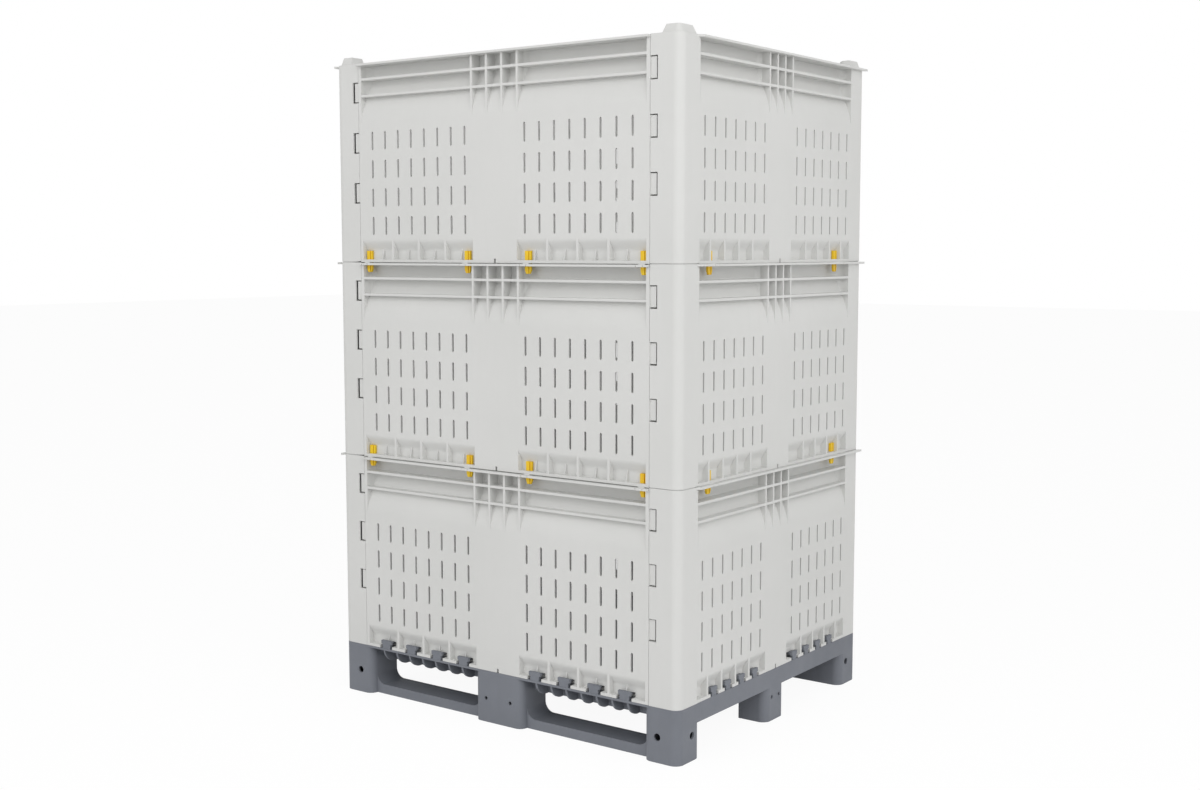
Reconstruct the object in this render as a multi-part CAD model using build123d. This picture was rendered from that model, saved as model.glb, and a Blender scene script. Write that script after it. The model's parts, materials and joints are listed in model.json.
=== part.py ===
from build123d import *
import math
import os

# Folding pallet box: a grey pallet that carries three equal tiers of white walls.
# Millimetres, origin under the middle of the pallet, X along the long side, Z up.
# Every wall is drawn in its own frame: u along the wall, w inwards from its outer face, v up.

# Whole box
length = 1200.0
width = 1000.0
base_height = 147.0
tier_height = 568.5
tier_names = ("lower", "middle", "upper")
corner_radius = 25.0
corner_facets = 8

# Wall section
wall_depth = 40.0
skin = 6.0
rim_thickness = 6.0
rim_projection = 12.0
rim_ear_setback = 7.0
flat_bottom = 66.0
cell_depth = 18.0
cell_low = 30.0
cell_rib_slope = 12.0
recess_height = 168.5
recess_crown_drop = 38.5
recess_round = 22.0
recess_round_rise = 40.0
round_facets = 5
curve_steps = 8
band_thickness = 7.0
band_drops = (45.5, 92.75)
ledge_height = 8.0
ledge_depth = 25.0
notch_width = 6.5
notch_height = 12.0

# Hinge along the inner foot of a wall
heel_radius = 9.0
heel_gap = 0.5
rod_diameter = 10.0
rod_hole_clearance = 0.2
rod_reach = 11.5
socket_clearance = 0.3
socket_end_clearance = 2.0
fold_clearance = 1.6
seam_gap = 1.0

# Vents
vent_width = 7.0
vent_height = 53.0
vent_pitch = 50.0
vent_row_first = 104.5
vent_row_pitch = 80.8
vent_rows = 4

# Front and back walls
long_end_rib = 10.5
long_band_half = 78.0
long_centre_ribs = (26.7, 80.0)
long_vent_margin = 42.0
long_vent_columns = 8
long_cell_margin = 117.0
long_cell_pitch = 100.0
long_cell_ribs = 3
long_clips = (107.0, 483.0)
fine_rib_thickness = 3.0
fine_rib_top = 42.0
fine_rib_toe = 8.0

# End walls
end_band_half = 60.0
end_centre_ribs = (20.8, 62.5)
end_vent_margin = 23.0
end_vent_columns = 7
end_cell_margin = 51.5
end_cell_pitch = 71.0
end_cell_ribs = 4
end_clips = (345.0,)

# Ribs of a wall
centre_rib_thickness = 7.0
cell_rib_thickness = 8.0

# Corner posts on the end walls
post_reach = 91.5
post_span = 88.0
post_inner_span = 40.0
post_wall = 5.0
post_top = 6.0
post_core = 63.0
nub_height = 22.0
nub_gap = 1.5
nub_taper = 20.0
seam_height = 1.6
seam_depth = 2.5
seam_slit_height = 3.5
seam_slit_length = 40.0
seam_slit_depth = 12.0

# Side lugs of the front and back walls, and their notches in the posts
lug_first = 200.0
lug_pitch = 143.3
lug_count = 3
lug_height = 53.0
lug_reach = 18.0
lug_setback = 4.0
lug_thickness = 16.0
lug_notch = 22.5
lug_window = 45.0
lug_drop_room = 3.5
lug_rise_room = 2.5

# Tier clips
clip_width = 20.0
clip_head_height = 25.0
clip_setback = 10.0
clip_head_depth = 7.0
clip_peg_depth = 6.0
clip_drop = 28.0
clip_tip_height = 9.0
clip_tip_taper = 4.0
clip_groove_width = 3.0
clip_groove_depth = 4.0
clip_groove_offset = 3.5
clip_hole_clearance = 0.3
clip_notch_clearance = 1.5
tab_setback = 9.5

# Pallet hooks that hold the rods of the lower tier
long_hook_width = 40.0
end_hook_width = 31.0
hook_overhang = 5.0
hook_height = 24.0
hook_head_height = 11.0
hook_setback = 1.0
hook_post = 8.0
hook_arm_thickness = 4.0
hook_reach = 32.0
hook_rod_gap = 0.5
hook_room = 1.5
hook_side_room = 4.5

# Pallet deck
deck_thickness = 6.0
deck_wall = 6.0
beam_drop = 51.0
skirt_drop = 38.0
skirt_setback = 54.0
gusset_count = 7
gusset_pitch = 51.0
gusset_edge = 3.0
gusset_round = 46.0
under_rib_thickness = 6.0
under_rib_x = (150.0, 290.0, 430.0)
under_rib_y = (150.0, 300.0)
foot_gap = 0.3

# Skids
foot_length = 110.0
foot_depth = 107.0
middle_foot_length = 170.0
end_middle_foot_length = 88.0
middle_foot_radius = 22.0
foot_wall = 6.0
runner_setback = 24.0
runner_height = 28.0
runner_wall = 6.0
runner_fillet = 30.0
hole_height = 68.0
corner_hole_diameter = 20.0
corner_hole_offset = 65.0
pair_hole_diameter = 10.5
side_pair_spacing = 87.0
end_pair_spacing = 39.0

# Derived places
hinge_w = wall_depth - heel_radius
hinge_v = heel_gap + heel_radius
recess_depth = wall_depth - skin
flat_top = tier_height - recess_height
post_face = length / 2 - post_reach
long_half = post_face - seam_gap
long_cell_half = long_half - long_end_rib
end_cell_half = width / 2 - post_span
long_rim_top = tier_height - fold_clearance
ledge_top = heel_gap + ledge_height
deck_bottom = base_height - deck_thickness
rod_half = post_face + rod_reach
beam_bottom = base_height - beam_drop
hook_arm_low = hinge_v + rod_diameter / 2 + hook_rod_gap
hook_arm_top = hook_arm_low + hook_arm_thickness
crown_v = tier_height - recess_crown_drop


def block(u0, u1, w0, w1, v0, v1):
    """Box between two opposite corners."""
    return Pos((u0 + u1) / 2, (w0 + w1) / 2, (v0 + v1) / 2) * Box(u1 - u0, w1 - w0, v1 - v0)


def along_u(section, u0, u1):
    """Prism of a (w, v) section from u0 to u1."""
    return Pos(u0, 0, 0) * extrude(Plane.YZ * section, u1 - u0, dir=(1, 0, 0))


def rise(face, height, taper=0):
    """Prism or tapered block that stands on a level face."""
    return extrude(face, height, dir=(0, 0, 1), taper=taper)


def outline(points):
    """Flat face inside a closed line of points."""
    return Polygon(*points, align=None)


def mirrored(values):
    """The values on both sides of the middle."""
    return [side * value for side in (-1, 1) for value in values]


def corner_line(x, y, sign_x, sign_y):
    """Points of a rounded outer corner at (x, y), from its X side round to its Y side."""
    angles = [math.radians(90 * k / corner_facets) for k in range(corner_facets + 1)]
    return [
        (
            x - sign_x * corner_radius * (1 - math.cos(angle)),
            y - sign_y * corner_radius * (1 - math.sin(angle)),
        )
        for angle in angles
    ]


def ease(share):
    """Smooth step from 0 to 1."""
    return share * share * (3 - 2 * share)


def recess_at(v):
    """Depth of the recess under the rim at a height."""
    share = (v - flat_top) / (crown_v - flat_top)
    return recess_depth * ease(min(max(share, 0), 1))


def cell_at(v):
    """Depth of the cells along the foot at a height."""
    share = (flat_bottom - v) / (flat_bottom - cell_low)
    return cell_depth * ease(min(max(share, 0), 1))


def steps(start, stop):
    """Even steps along a curved stretch."""
    return [start + (stop - start) * k / curve_steps for k in range(curve_steps + 1)]


# Patterns along a wall

def vent_columns(cell_half, margin, count):
    """Places of the vent columns, counted inwards from the end of the wall."""
    return mirrored([cell_half - margin - vent_pitch * k for k in range(count)])


def cell_rib_places(cell_half, margin, pitch, count):
    """Places of the ribs between the cells along the foot."""
    return mirrored([cell_half - margin - pitch * k for k in range(count)])


long_ribs = cell_rib_places(long_cell_half, long_cell_margin, long_cell_pitch, long_cell_ribs)
end_ribs = cell_rib_places(end_cell_half, end_cell_margin, end_cell_pitch, end_cell_ribs)
long_field = long_cell_half - long_cell_margin - long_cell_pitch * (long_cell_ribs - 1) / 2
long_hooks = mirrored(
    [long_field + long_cell_pitch * (k - long_cell_ribs / 2) for k in range(long_cell_ribs + 1)]
)
end_hooks = [place - math.copysign(end_cell_pitch / 2, place) for place in end_ribs]


# Walls

def vent_panel(half, columns):
    """Flat middle of a wall with its upright vents."""
    radius = vent_width / 2
    straight = vent_height / 2 - radius
    turn = [math.radians(60 * k) for k in range(4)]
    top = [(radius * math.cos(a), straight + radius * math.sin(a)) for a in turn]
    slot = outline(top + [(-x, -y) for x, y in top])
    rows = [vent_row_first + vent_row_pitch * k for k in range(vent_rows)]
    sheet = Pos(0, (flat_bottom + flat_top) / 2) * Rectangle(2 * half, flat_top - flat_bottom)
    vents = [Pos(u, v) * slot for u in columns for v in rows]
    return extrude(Plane.XZ * (sheet - vents), skin, dir=(0, 1, 0))


def rib_section(top_line):
    """Full section of a rib at the foot, with a round heel about the rod and the rod's hole."""
    low = math.radians(45)
    foot = [
        (0, heel_gap),
        (hinge_w, heel_gap),
        (hinge_w + heel_radius * math.cos(low), hinge_v - heel_radius * math.sin(low)),
        (wall_depth, hinge_v),
    ]
    hole = rod_diameter + 2 * rod_hole_clearance
    return outline(foot + top_line) - Pos(hinge_w, hinge_v) * Rectangle(hole, hole)


def recess_corner(place, way, rim_bottom):
    """Round filling of the recess where it ends at a rib that lies its own way."""
    low = flat_top + recess_round_rise
    turns = [math.radians(90 * k / round_facets) for k in range(round_facets + 1)]
    inner = place - way * recess_round
    curve = [
        (
            inner + way * recess_round * math.cos(turn),
            recess_depth - recess_round * (1 - math.sin(turn)),
        )
        for turn in turns
    ]
    back = recess_depth + skin / 2
    return Pos(0, 0, low) * rise(outline(curve + [(inner, back), (place, back)]), rim_bottom - low)


def wall_shell(half, cell_half, rim_top, columns, centre_ribs, band_half, cell_ribs):
    """Skin, rim, bands, ledge and ribs that every wall shares."""
    rim_bottom = rim_top - rim_thickness
    recess = [(recess_at(v), v) for v in steps(flat_top, crown_v)] + [(recess_depth, rim_bottom)]
    cell = [(cell_at(v), v) for v in steps(flat_bottom, cell_low)] + [(cell_depth, ledge_height)]
    behind = [(w + skin, v) for w, v in recess]
    cell_behind = [(w + skin, v) for w, v in cell]
    rib_top = [(wall_depth, flat_bottom - cell_rib_slope), (skin, flat_bottom), (0, flat_bottom)]
    cell_rib = rib_section(rib_top)
    centre_rib = outline(recess + [(0, rim_bottom)])
    rib = cell_rib_thickness / 2
    pieces = [
        along_u(outline(recess + behind[::-1]), -half, half),
        along_u(outline(cell + cell_behind[::-1]), -half, half),
        block(-half, half, 0, ledge_depth, heel_gap, ledge_top),
        block(-band_half, band_half, 0, skin, heel_gap, flat_bottom),
        block(-half, half, 0, wall_depth, rim_bottom, rim_top),
    ]
    for drop in band_drops:
        low = tier_height - drop - band_thickness / 2
        high = low + band_thickness
        band = outline([
            (0, low),
            (recess_at(low) + skin / 2, low),
            (recess_at(high) + skin / 2, high),
            (0, high),
        ])
        pieces.append(along_u(band, -half, half))
    for place in mirrored(centre_ribs):
        edge = centre_rib_thickness / 2
        pieces.append(along_u(centre_rib, place - edge, place + edge))
    for place in list(cell_ribs) + mirrored([band_half - rib]):
        pieces.append(along_u(cell_rib, place - rib, place + rib))
    for side in (-1, 1):
        pieces.append(recess_corner(side * cell_half, side, rim_bottom))
        pieces.append(recess_corner(side * max(centre_ribs), -side, rim_bottom))
    shell = vent_panel(half, columns) + pieces
    return shell - block(-notch_width / 2, notch_width / 2, 0, ledge_depth, heel_gap, notch_height)


def clip_tabs(places, rim_top):
    """Tabs under the ledge that close the rim notches of the tier below."""
    half = clip_width / 2
    rim_drop = rim_top - tier_height
    tabs = []
    for place in places:
        tabs.append(block(place - half, place + half, -rim_projection, tab_setback,
                          rim_drop - rim_thickness, rim_drop))
        tabs.append(block(place - half, place + half, 0, tab_setback, rim_drop, ledge_top))
    return tabs


def clip_holes(places):
    """Holes in the ledge for the pegs of the clips."""
    half = clip_width / 2 + clip_hole_clearance
    return [
        block(place - half, place + half, clip_setback - clip_hole_clearance,
              clip_setback + clip_peg_depth + clip_hole_clearance, heel_gap, ledge_top)
        for place in places
    ]


def rim_notches(places, rim_top):
    """Notches in the rim, open outwards, for the pegs of the tier above."""
    half = clip_width / 2 + clip_notch_clearance
    return [
        block(place - half, place + half, -rim_projection,
              clip_setback + clip_peg_depth + clip_notch_clearance, rim_top - rim_thickness, rim_top)
        for place in places
    ]


def hook_rooms(places, hook_width):
    """Room in the foot of a lower wall for the pallet's hooks."""
    half = hook_width / 2 + hook_side_room
    return [
        block(place - half, place + half, 0, wall_depth, heel_gap, hook_arm_top + hook_room)
        for place in places
    ]


def dress(wall, tier, clips, rooms, rim_top):
    """Clip tabs, clip holes, rim notches and hook rooms that this tier's wall has."""
    if tier == tier_names[0]:
        wall = wall - rooms
    else:
        wall = wall + clip_tabs(clips, rim_top) - clip_holes(clips)
    if tier != tier_names[-1]:
        wall = wall - rim_notches(clips, rim_top)
    return wall


def lug_places():
    """Middle height of each side lug."""
    return [lug_first + lug_pitch * k for k in range(lug_count)]


def long_wall(tier):
    """Front or back wall: hinged at its foot, with lugs that enter the posts."""
    rim_bottom = long_rim_top - rim_thickness
    columns = vent_columns(long_cell_half, long_vent_margin, long_vent_columns)
    shell = wall_shell(
        long_half, long_cell_half, long_rim_top, columns, long_centre_ribs, long_band_half, long_ribs
    )
    end_rib = rib_section([(wall_depth, rim_bottom), (0, rim_bottom)])
    inside_skin = cell_depth + skin / 2
    fine_rib = outline([
        (fine_rib_toe, ledge_height),
        (inside_skin, ledge_height),
        (inside_skin, cell_low),
        (cell_at(fine_rib_top) + skin / 2, fine_rib_top),
    ])
    pieces = [block(-long_half, long_half, -rim_projection, skin, rim_bottom, long_rim_top)]
    for side in (-1, 1):
        inner, outer = sorted((side * long_cell_half, side * long_half))
        pieces.append(along_u(end_rib, inner, outer))
        inner, outer = sorted((side * (long_half - long_end_rib / 2), side * (long_half + lug_reach)))
        for middle in lug_places():
            pieces.append(
                block(inner, outer, lug_setback, lug_setback + lug_thickness,
                      middle - lug_height / 2, middle + lug_height / 2)
            )
    for place in long_hooks:
        edge = fine_rib_thickness / 2
        pieces.append(along_u(fine_rib, place - edge, place + edge))
    rooms = hook_rooms(long_hooks, long_hook_width)
    return dress(shell + pieces, tier, mirrored(long_clips), rooms, long_rim_top)


def post_outline():
    """Plan of the corner post at the +u end of an end wall, in (u, w)."""
    edge = width / 2
    return outline(
        corner_line(edge, 0, 1, -1)
        + [
            (end_cell_half, 0),
            (end_cell_half, wall_depth),
            (edge - post_inner_span, post_reach),
            (edge, post_reach),
        ]
    )


def corner_post():
    """Hollow post: open below over the nub of the tier underneath, with a nub of its own on top."""
    plan = post_outline()
    inside = offset(plan, -post_wall, kind=Kind.INTERSECTION)
    edge = width / 2
    core = inside & Pos(edge, post_core / 2) * Rectangle(4 * post_span, post_core)
    strip_low = post_core + post_wall
    strip = inside & Pos(edge, strip_low + post_reach / 2) * Rectangle(4 * post_span, post_reach)
    post = rise(plan, tier_height) - rise(core, tier_height - post_top)
    notch_low = post_reach - lug_notch
    floor = 0.0
    cuts = []
    for middle in lug_places():
        low = middle - lug_height / 2 - lug_drop_room
        high = middle + lug_height / 2 + lug_rise_room
        cuts.append(block(end_cell_half, edge, notch_low, post_reach, low, high))
        cuts.append(block(edge - lug_window, edge - post_wall, post_core, notch_low, low, high))
        cuts.append(Pos(0, 0, floor) * rise(strip, low - post_wall - floor))
        floor = high + post_wall
    cuts.append(Pos(0, 0, floor) * rise(strip, tier_height - post_top - floor))
    socket = rod_diameter / 2 + socket_clearance
    cuts.append(
        block(edge - hinge_w - socket, edge - hinge_w + socket,
              post_reach - rod_reach - socket_end_clearance, post_reach,
              hinge_v - socket, hinge_v + socket)
    )
    nub = offset(core, -nub_gap, kind=Kind.INTERSECTION)
    return post - cuts + Pos(0, 0, tier_height) * rise(nub, nub_height, nub_taper)


def post_seam():
    """Shallow rebate round the foot of a post, which marks the seam with the tier below."""
    plan = post_outline()
    return rise(plan - offset(plan, -seam_depth, kind=Kind.INTERSECTION), seam_height)


def seam_slit():
    """Wedge-shaped slit under the foot of the post that has the rim's ear."""
    edge = width / 2
    wedge = outline([
        (post_reach, 0),
        (post_reach, seam_slit_height),
        (post_reach - seam_slit_length, 0),
    ])
    return along_u(wedge, edge - seam_slit_depth, edge)


def end_wall(tier):
    """Left or right end wall with a corner post moulded on each end."""
    columns = vent_columns(end_cell_half, end_vent_margin, end_vent_columns)
    half = end_cell_half + post_wall / 2
    shell = wall_shell(
        half, end_cell_half, tier_height, columns, end_centre_ribs, end_band_half, end_ribs
    )
    lip = outline([
        (-end_cell_half - rim_projection, 0),
        (-end_cell_half, -rim_projection),
        (width / 2 - rim_ear_setback, -rim_projection),
        (width / 2 - corner_radius, 0),
    ])
    post = corner_post()
    pieces = [
        Pos(0, 0, tier_height - rim_thickness) * rise(lip, rim_thickness),
        post,
        mirror(post, Plane.YZ),
    ]
    wall = shell + pieces
    if tier != tier_names[0]:
        seam = post_seam()
        wall = wall - [seam, mirror(seam, Plane.YZ), seam_slit()]
    rooms = hook_rooms(end_hooks, end_hook_width)
    return dress(wall, tier, mirrored(end_clips), rooms, tier_height)


def rod(half):
    """Round hinge rod along the foot of a wall."""
    return Pos(0, hinge_w, hinge_v) * Rot(0, 90, 0) * Cylinder(rod_diameter / 2, 2 * half)


def clip(place):
    """Tier clip: a head on the ledge and a peg with a tapered tip that drops into the rim below."""
    half = clip_width / 2
    tip_top = clip_tip_height - clip_drop
    peg = outline([
        (place - half, ledge_top),
        (place - half, tip_top),
        (place - half + clip_tip_taper, -clip_drop),
        (place + half - clip_tip_taper, -clip_drop),
        (place + half, tip_top),
        (place + half, ledge_top),
    ])
    head = block(place - half, place + half, clip_setback, clip_setback + clip_head_depth,
                 ledge_top, ledge_top + clip_head_height)
    body = head + Pos(0, clip_setback, 0) * extrude(Plane.XZ * peg, clip_peg_depth, dir=(0, 1, 0))
    middle = place + clip_groove_offset
    groove = clip_groove_width / 2
    return body - block(middle - groove, middle + groove, clip_setback,
                        clip_setback + clip_groove_depth, -clip_drop, ledge_top + clip_head_height)


# Pallet

def hook(place, hook_width):
    """Upright hook in a wall's own frame: a neck outside the rod, a wider head, an arm over the rod."""
    neck = hook_width / 2 - hook_overhang
    head = hook_width / 2
    face = hook_setback
    back = hook_setback + hook_post
    return [
        block(place - neck, place + neck, face, back, -deck_thickness, hook_height),
        block(place - head, place + head, face, back, hook_height - hook_head_height, hook_height),
        block(place - neck, place + neck, face, face + hook_reach, hook_arm_low, hook_arm_top),
    ]


def side_frames():
    """Places of the front, back, right and left wall frames, at the deck's top."""
    return {
        "front": Pos(0, -width / 2, 0),
        "back": Pos(0, width / 2, 0) * Rot(0, 0, 180),
        "right": Pos(length / 2, 0, 0) * Rot(0, 0, 90),
        "left": Pos(-length / 2, 0, 0) * Rot(0, 0, -90),
    }


def skirt_and_gussets():
    """Recessed skirt under the front edge, with curved gussets up to the edge, in the front wall's frame."""
    low = middle_foot_length / 2 + foot_gap
    high = length / 2 - foot_length - foot_gap
    middle = (low + high) / 2
    edge = Line((gusset_edge, 0), (skirt_setback, 0))
    back = Line((skirt_setback, 0), (skirt_setback, -skirt_drop))
    toe = (gusset_edge + gusset_round, -skirt_drop)
    belly = (gusset_edge + gusset_round * (1 - math.sqrt(0.5)), -skirt_drop * math.sqrt(0.5))
    foot_line = Line((skirt_setback, -skirt_drop), toe)
    section = make_face([edge, back, foot_line, ThreePointArc(toe, belly, (gusset_edge, 0))])
    pieces = []
    for side in (-1, 1):
        near, far = sorted((side * low, side * high))
        pieces.append(block(near, far, skirt_setback, skirt_setback + deck_wall, -skirt_drop, 0))
        for k in range(gusset_count):
            place = side * middle + gusset_pitch * (k - (gusset_count - 1) / 2)
            pieces.append(along_u(section, place - deck_wall / 2, place + deck_wall / 2))
    return [Pos(0, 0, base_height - deck_thickness) * piece for piece in pieces]


def deck():
    """Pallet deck with its edge beams, skirts, underside ribs and wall hooks."""
    x = length / 2
    y = width / 2
    plan = outline(
        corner_line(x, y, 1, 1)
        + corner_line(-x, y, -1, 1)[::-1]
        + corner_line(-x, -y, -1, -1)
        + corner_line(x, -y, 1, -1)[::-1]
    )
    plate = Pos(0, 0, deck_bottom) * rise(plan, deck_thickness)
    frames = side_frames()
    deck_top = Pos(0, 0, base_height)
    pieces = []
    skirt = skirt_and_gussets()
    for name in ("front", "back"):
        pieces += [frames[name] * piece for piece in skirt]
        for place in long_hooks:
            pieces += [frames[name] * deck_top * piece for piece in hook(place, long_hook_width)]
    beam_low = foot_depth / 2 + foot_gap
    beam_high = y - foot_depth - foot_gap
    for name in ("right", "left"):
        for place in end_hooks:
            pieces += [frames[name] * deck_top * piece for piece in hook(place, end_hook_width)]
        for near, far in ((-beam_high, -beam_low), (beam_low, beam_high)):
            face = block(near, far, 0, deck_wall, beam_bottom, deck_bottom)
            back = block(near, far, skirt_setback, skirt_setback + deck_wall, beam_bottom, deck_bottom)
            pieces += [frames[name] * face, frames[name] * back]
            for end in (near, far - deck_wall):
                web = block(end, end + deck_wall, 0, skirt_setback, beam_bottom, deck_bottom)
                pieces.append(frames[name] * web)
    rib = under_rib_thickness / 2
    low = deck_bottom - skirt_drop
    for place in mirrored(under_rib_x):
        reach = y - skirt_setback
        pieces.append(block(place - rib, place + rib, -reach, reach, low, deck_bottom))
    for place in mirrored(under_rib_y):
        reach = x - skirt_setback
        pieces.append(block(-reach, reach, place - rib, place + rib, low, deck_bottom))
    return plate + pieces


def foot_plan(size_x, size_y, rounded, radius):
    """Plan of a foot, with the corners rounded that are named by their signs."""
    plan = Rectangle(size_x, size_y)
    corners = [
        corner for corner in plan.vertices()
        if (math.copysign(1, corner.X), math.copysign(1, corner.Y)) in rounded
    ]
    return fillet(corners, radius) if corners else plan


def foot(x, y, low_plan, high_plan):
    """Hollow foot, closed below and covered by the deck; its plan changes level with the beams' underside."""
    outer = rise(low_plan, beam_bottom)
    outer += Pos(0, 0, beam_bottom) * rise(high_plan, deck_bottom - beam_bottom)
    inner = offset(low_plan, -foot_wall, kind=Kind.INTERSECTION)
    return Pos(x, y, 0) * (outer - Pos(0, 0, foot_wall) * rise(inner, deck_bottom))


def runner(x0, x1, y0, y1):
    """Ground runner between two feet: a channel open below, rounded up into both feet."""
    inner = block(x0, x1, y0 + runner_wall, y1 - runner_wall, 0, runner_height - runner_wall)
    body = block(x0 - foot_wall / 2, x1 + foot_wall / 2, y0, y1, 0, runner_height) - inner
    corner = Pos(runner_fillet / 2, runner_fillet / 2) * Rectangle(runner_fillet, runner_fillet)
    web = corner - Pos(runner_fillet, runner_fillet) * Circle(runner_fillet)
    curve = extrude(Plane.XZ * web, y1 - y0, dir=(0, 1, 0))
    left = Pos(x0, y0, runner_height) * curve
    right = Pos(x1, y0, runner_height) * mirror(curve, Plane.YZ)
    return body + [left, right]


def wall_hole(x, y, along, diameter):
    """Round cutter through one foot wall, along X or Y."""
    turn = Rot(0, 90, 0) if along == "x" else Rot(90, 0, 0)
    return Pos(x, y, hole_height) * turn * Cylinder(diameter / 2, 4 * foot_wall)


def skid(face):
    """Skid along X under the front or back edge: two corner feet, a middle foot and two runners."""
    y = face * (width / 2 - foot_depth / 2)
    outer = face * width / 2
    x = length / 2 - foot_length / 2
    pieces = []
    cuts = []
    for side in (-1, 1):
        outer_corners = [(side, face), (-side, face)]
        end_corners = [(side, -1), (side, 1)]
        low_plan = foot_plan(foot_length, foot_depth, outer_corners + end_corners, corner_radius)
        high_plan = foot_plan(foot_length, foot_depth, outer_corners, corner_radius)
        pieces.append(foot(side * x, y, low_plan, high_plan))
        near, far = sorted((side * middle_foot_length / 2, side * (length / 2 - foot_length)))
        low, high = sorted((outer - face * runner_setback, outer - face * foot_depth))
        pieces.append(runner(near, far, low, high))
        end = side * length / 2
        cuts.append(wall_hole(end - side * corner_hole_offset, outer, "y", corner_hole_diameter))
        cuts.append(wall_hole(end, outer - face * corner_hole_offset, "x", corner_hole_diameter))
        cuts.append(wall_hole(side * side_pair_spacing / 2, outer, "y", pair_hole_diameter))
    plan = foot_plan(middle_foot_length, foot_depth, [(-1, face), (1, face)], middle_foot_radius)
    return foot(0, y, plan, plan) + pieces - cuts


def middle_feet():
    """Row of three feet under the middle of the deck, with a pair of holes in each end."""
    x = length / 2 - end_middle_foot_length / 2
    plan = foot_plan(middle_foot_length, foot_depth, [], middle_foot_radius)
    feet = [foot(0, 0, plan, plan)]
    for side in (-1, 1):
        end_corners = [(side, -1), (side, 1)]
        low_plan = foot_plan(end_middle_foot_length, foot_depth, end_corners, corner_radius)
        high_plan = foot_plan(end_middle_foot_length, foot_depth, [], corner_radius)
        holes = [wall_hole(side * length / 2, place, "x", pair_hole_diameter)
                 for place in mirrored([end_pair_spacing / 2])]
        feet.append(foot(side * x, 0, low_plan, high_plan) - holes)
    return Compound(feet)


# Assembly

def pallet_nodes():
    """Deck, skids and middle feet."""
    return {
        "pallet_deck": deck(),
        "skid_front": skid(-1),
        "skid_back": skid(1),
        "middle_feet": middle_feet(),
    }


def tier_nodes(tier, level):
    """Walls, hinge rods and clips of one tier."""
    up = Pos(0, 0, base_height + level * tier_height)
    shapes = {"front": long_wall(tier), "right": end_wall(tier)}
    nodes = {}
    for side, frame in side_frames().items():
        place = up * frame
        is_long = side in ("front", "back")
        name = f"{tier}_{side}" if is_long else f"{tier}_{side}_end"
        nodes[f"{name}_wall"] = place * shapes["front" if is_long else "right"]
        if is_long:
            nodes[f"{name}_hinge_rod"] = place * rod(rod_half)
        elif level == 0:
            nodes[f"{name}_rod"] = place * rod(end_cell_half)
        if level > 0:
            clips = mirrored(long_clips if is_long else end_clips)
            nodes[f"{name}_clips"] = Compound([place * clip(u) for u in clips])
    return nodes


os.makedirs("parts", exist_ok=True)
nodes = pallet_nodes()
for level, tier in enumerate(tier_names):
    nodes.update(tier_nodes(tier, level))
for name, shape in nodes.items():
    export_step(shape, f"parts/{name}.step")
print(len(nodes), "nodes")
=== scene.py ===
import json
import math

import bmesh
import bpy
from mathutils import Euler, Matrix, Vector

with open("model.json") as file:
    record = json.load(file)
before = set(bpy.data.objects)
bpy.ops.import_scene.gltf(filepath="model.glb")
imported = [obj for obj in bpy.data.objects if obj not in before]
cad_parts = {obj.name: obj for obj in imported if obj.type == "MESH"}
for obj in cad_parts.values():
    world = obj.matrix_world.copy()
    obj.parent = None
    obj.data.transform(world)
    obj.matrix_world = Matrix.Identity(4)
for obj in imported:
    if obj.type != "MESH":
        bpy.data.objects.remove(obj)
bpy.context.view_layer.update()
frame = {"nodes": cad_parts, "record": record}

scene = bpy.context.scene
scene.view_settings.view_transform = "Standard"

# Camera: place and reach in metres, angles in degrees, lens and sensor in millimetres
camera_place = (2.6293, -3.6138, 1.3196)
camera_reach = 100.0
camera_turn = 36.165
camera_dip = 5.547
camera_roll = -0.031
camera_lens = 44.81
sensor_width = 36.0

# Finishes by the record's slots. Colours are linear: the plain tone, its darker clouds and
# its paler worn edges. Small pieces have finer clouds.
finishes = {
    "wall_white": {
        "tone": (0.705, 0.705, 0.690),
        "shade": (0.675, 0.677, 0.660),
        "wear": (0.76, 0.76, 0.75),
        "roughness": 0.50,
        "cloud_scale": 2.2,
    },
    "pallet_grey": {
        "tone": (0.195, 0.207, 0.235),
        "shade": (0.172, 0.183, 0.209),
        "wear": (0.27, 0.285, 0.315),
        "roughness": 0.55,
        "cloud_scale": 5.0,
    },
    "clip_yellow": {
        "tone": (0.90, 0.62, 0.020),
        "shade": (0.84, 0.50, 0.012),
        "wear": (0.90, 0.66, 0.06),
        "roughness": 0.42,
        "cloud_scale": 18.0,
    },
    "rod_white": {
        "tone": (0.60, 0.60, 0.58),
        "shade": (0.54, 0.54, 0.52),
        "wear": (0.68, 0.68, 0.66),
        "roughness": 0.45,
        "cloud_scale": 12.0,
    },
}
specular_level = 0.4

# Noise in the plastic: its usual spread, and for each mark its scale, its detail and the
# values that it runs between
noise_low, noise_high = 0.3, 0.7
cloud_detail = 4.0
cloud_dark, cloud_plain = 0.30, 0.62
streak_scale, streak_detail = 9.0, 3.0
streak_stretch = (6.0, 6.0, 0.5)
streak_start, streak_full = 0.50, 0.72
streak_share = 0.25
scuff_scale, scuff_detail = 60.0, 6.0
scuff_least, scuff_most = 0.25, 0.9
gloss_scale, gloss_detail = 24.0, 5.0
gloss_smoother, gloss_rougher = 0.06, 0.08
grain_scale, grain_detail = 850.0, 2.0
grain_strength, grain_height = 0.10, 0.0004

# Edges, in metres. Faces that turn by more than the corner angle keep a hard edge between
# them. Wear runs from full to none as the rounded normal comes to lie along the face's own.
edge_round = 0.0012
edge_rays = 4
edge_worn, edge_clean = 0.80, 0.99
weld_distance = 0.00001
corner_angle = math.radians(24)

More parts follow.
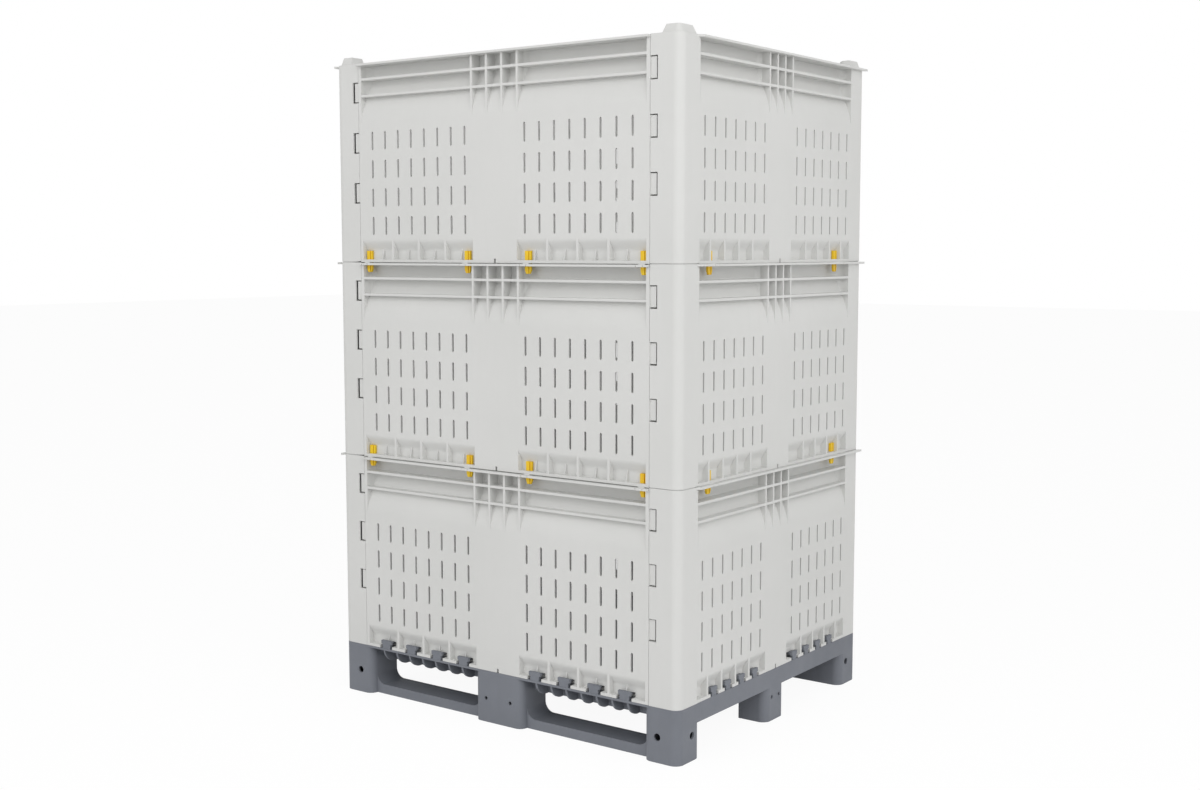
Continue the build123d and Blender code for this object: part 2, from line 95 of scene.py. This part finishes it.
# Studio, in metres and watts. The white share is how much of the floor is plain white to the
# eye; the rest takes the soft shadow.
white = (1.0, 1.0, 1.0)
sky_strength = 0.48
floor_half_side = 30.0
floor_tone = (0.90, 0.90, 0.90)
floor_white = 1.02
floor_white_share = 0.92
lamp_target = Vector((0.0, 0.0, 0.5))
softboxes = {
    "key_softbox": {"place": (3.7, -3.9, 4.2), "side": 4.4, "power": 98.0},
    "front_softbox": {"place": (-1.6, -5.6, 3.2), "side": 4.4, "power": 76.0},
    "end_softbox": {"place": (6.0, -0.4, 2.8), "side": 4.0, "power": 76.0},
}

# The colour mix repeats the names of its sockets, so these are taken by number
mix_factor, mix_base, mix_mark, mix_colour = 0, 6, 7, 2


def colour(rgb):
    """An opaque colour for a socket."""
    return (*rgb, 1.0)


class Finish:
    """A material that is built up node by node."""

    def __init__(self, name):
        self.material = bpy.data.materials.new(name)
        self.material.use_nodes = True
        self.nodes = self.material.node_tree.nodes
        self.links = self.material.node_tree.links
        self.shader = self.nodes["Principled BSDF"]
        self.place = self.add("ShaderNodeTexCoord").outputs["Object"]

    def add(self, kind, **values):
        """A node, with values for its sockets by name."""
        node = self.nodes.new(kind)
        for key, value in values.items():
            node.inputs[key].default_value = value
        return node

    def join(self, output, target):
        """Links an output to an input."""
        self.links.new(output, target)

    def noise(self, scale, detail, stretch=(1, 1, 1)):
        """Noise in object space, finer along the axes with more stretch."""
        mapping = self.add("ShaderNodeMapping", Scale=stretch)
        self.join(self.place, mapping.inputs["Vector"])
        node = self.add("ShaderNodeTexNoise", Scale=scale, Detail=detail)
        self.join(mapping.outputs["Vector"], node.inputs["Vector"])
        return node.outputs["Fac"]

    def ramp(self, value, stops):
        """Colour ramp between two stops, each a position and a colour."""
        node = self.add("ShaderNodeValToRGB")
        for element, (position, rgb) in zip(node.color_ramp.elements, stops):
            element.position = position
            element.color = colour(rgb)
        self.join(value, node.inputs["Fac"])
        return node.outputs["Color"]

    def spread(self, value, low, high, start=noise_low, stop=noise_high):
        """A value that runs from low to high as another runs from start to stop."""
        ends = {"From Min": start, "From Max": stop, "To Min": low, "To Max": high}
        node = self.add("ShaderNodeMapRange", **ends)
        self.join(value, node.inputs["Value"])
        return node.outputs["Result"]

    def product(self, first, second):
        """Two values multiplied."""
        node = self.add("ShaderNodeMath")
        node.operation = "MULTIPLY"
        self.join(first, node.inputs[0])
        self.join(second, node.inputs[1])
        return node.outputs["Value"]

    def blend(self, factor, base, mark):
        """The base colour, with a mark of one plain colour over it by a factor."""
        node = self.add("ShaderNodeMix")
        node.data_type = "RGBA"
        self.join(factor, node.inputs[mix_factor])
        self.join(base, node.inputs[mix_base])
        node.inputs[mix_mark].default_value = colour(mark)
        return node.outputs[mix_colour]

    def rounded(self):
        """Normal over softly rounded edges."""
        node = self.add("ShaderNodeBevel", Radius=edge_round)
        node.samples = edge_rays
        return node.outputs["Normal"]

    def edges(self, rounded):
        """One on the edges, where the rounded normal leaves the face, and nothing on the flats."""
        facing = self.add("ShaderNodeVectorMath")
        facing.operation = "DOT_PRODUCT"
        self.join(rounded, facing.inputs[0])
        self.join(self.add("ShaderNodeNewGeometry").outputs["Normal"], facing.inputs[1])
        return self.spread(facing.outputs["Value"], 1.0, 0.0, edge_worn, edge_clean)

    def grain(self, height, rounded):
        """Fine bump from a height, over softly rounded edges."""
        node = self.add("ShaderNodeBump", Strength=grain_strength, Distance=grain_height)
        self.join(height, node.inputs["Height"])
        self.join(rounded, node.inputs["Normal"])
        self.join(node.outputs["Normal"], self.shader.inputs["Normal"])


def moulded_plastic(name, tone, shade, wear, roughness, cloud_scale):
    """Moulded plastic: clouded tone, faint flow streaks, paler worn edges and a fine grain."""
    finish = Finish(name)
    sockets = finish.shader.inputs
    clouds = finish.noise(cloud_scale, cloud_detail)
    base = finish.ramp(clouds, [(cloud_dark, shade), (cloud_plain, tone)])
    streaks = finish.noise(streak_scale, streak_detail, streak_stretch)
    flow = finish.spread(streaks, 0.0, streak_share, streak_start, streak_full)
    base = finish.blend(flow, base, shade)
    rounded = finish.rounded()
    scuffs = finish.spread(finish.noise(scuff_scale, scuff_detail), scuff_least, scuff_most)
    base = finish.blend(finish.product(finish.edges(rounded), scuffs), base, wear)
    finish.join(base, sockets["Base Color"])
    gloss = finish.noise(gloss_scale, gloss_detail)
    rough = finish.spread(gloss, roughness - gloss_smoother, roughness + gloss_rougher)
    finish.join(rough, sockets["Roughness"])
    finish.grain(finish.noise(grain_scale, grain_detail), rounded)
    sockets["Specular IOR Level"].default_value = specular_level
    return finish.material


def shade_faces(node):
    """Joins the faces of a moulded piece, and shades its rounds smooth and its flats flat."""
    weld = node.modifiers.new("joined_faces", "WELD")
    weld.merge_threshold = weld_distance
    split = node.modifiers.new("hard_edges", "EDGE_SPLIT")
    split.split_angle = corner_angle
    split.use_edge_sharp = False
    shading = node.modifiers.new("flat_shading", "WEIGHTED_NORMAL")
    shading.mode = "FACE_AREA"


def dress_nodes():
    """Gives every CAD node its finish and its shading."""
    materials = {slot: moulded_plastic(slot, **values) for slot, values in finishes.items()}
    slots = {entry["node"]: entry["material_slot"] for entry in frame["record"]["subparts"]}
    for name, node in frame["nodes"].items():
        node.data.materials.clear()
        node.data.materials.append(materials[slots[name]])
        shade_faces(node)


def seen_share(tree, share):
    """The share for rays that show the backdrop: straight to the eye, or by gloss or glass."""
    path = tree.nodes.new("ShaderNodeLightPath")
    total = path.outputs["Is Camera Ray"]
    for name in ("Is Glossy Ray", "Is Transmission Ray"):
        largest = tree.nodes.new("ShaderNodeMath")
        largest.operation = "MAXIMUM"
        tree.links.new(total, largest.inputs[0])
        tree.links.new(path.outputs[name], largest.inputs[1])
        total = largest.outputs["Value"]
    scaled = tree.nodes.new("ShaderNodeMath")
    scaled.operation = "MULTIPLY"
    scaled.inputs[1].default_value = share
    tree.links.new(total, scaled.inputs[0])
    return scaled.outputs["Value"]


def show_white(tree, lit, shown, share, output):
    """Puts a lit surface on an output, with a share of a plain one over it for the eye."""
    mix = tree.nodes.new("ShaderNodeMixShader")
    tree.links.new(seen_share(tree, share), mix.inputs["Fac"])
    tree.links.new(lit.outputs[0], mix.inputs[1])
    tree.links.new(shown.outputs[0], mix.inputs[2])
    tree.links.new(mix.outputs[0], tree.nodes[output].inputs["Surface"])


def studio_floor():
    """Pale floor that reads as white to the eye and still takes a soft shadow."""
    mesh = bpy.data.meshes.new("floor")
    shape = bmesh.new()
    bmesh.ops.create_grid(shape, x_segments=1, y_segments=1, size=floor_half_side)
    shape.to_mesh(mesh)
    shape.free()
    floor = bpy.data.objects.new("floor", mesh)
    scene.collection.objects.link(floor)
    material = bpy.data.materials.new("floor_white")
    material.use_nodes = True
    tree = material.node_tree
    tree.nodes.remove(tree.nodes["Principled BSDF"])
    matte = tree.nodes.new("ShaderNodeBsdfDiffuse")
    matte.inputs["Color"].default_value = colour(floor_tone)
    glow = tree.nodes.new("ShaderNodeEmission")
    glow.inputs["Strength"].default_value = floor_white
    show_white(tree, matte, glow, floor_white_share, "Material Output")
    mesh.materials.append(material)


def studio_world():
    """Even soft light all round, and a white backdrop to the eye."""
    world = bpy.data.worlds.new("studio")
    scene.world = world
    world.use_nodes = True
    tree = world.node_tree
    light = tree.nodes["Background"]
    light.inputs["Color"].default_value = colour(white)
    light.inputs["Strength"].default_value = sky_strength
    backdrop = tree.nodes.new("ShaderNodeBackground")
    backdrop.inputs["Color"].default_value = colour(white)
    show_white(tree, light, backdrop, 1.0, "World Output")


def softbox(name, place, side, power):
    """Large square lamp that points at the target low in the box."""
    lamp = bpy.data.lights.new(name, "AREA")
    lamp.shape = "SQUARE"
    lamp.size = side
    lamp.energy = power
    box = bpy.data.objects.new(name, lamp)
    box.location = place
    box.rotation_euler = (lamp_target - Vector(place)).to_track_quat("-Z", "Y").to_euler()
    scene.collection.objects.link(box)


def studio_camera():
    """Camera at the place and angle from which the box was pictured."""
    data = bpy.data.cameras.new("camera")
    data.sensor_width = sensor_width
    data.lens = camera_lens
    data.clip_end = camera_reach
    camera = bpy.data.objects.new("camera", data)
    camera.location = camera_place
    aim = Euler((math.radians(90 - camera_dip), 0, math.radians(camera_turn)), "XYZ")
    roll = Matrix.Rotation(math.radians(camera_roll), 3, "Z")
    camera.rotation_euler = (aim.to_matrix() @ roll).to_euler()
    scene.collection.objects.link(camera)
    scene.camera = camera


dress_nodes()
studio_floor()
studio_world()
for lamp_name, lamp_values in softboxes.items():
    softbox(lamp_name, **lamp_values)
studio_camera()
bpy.context.view_layer.update()
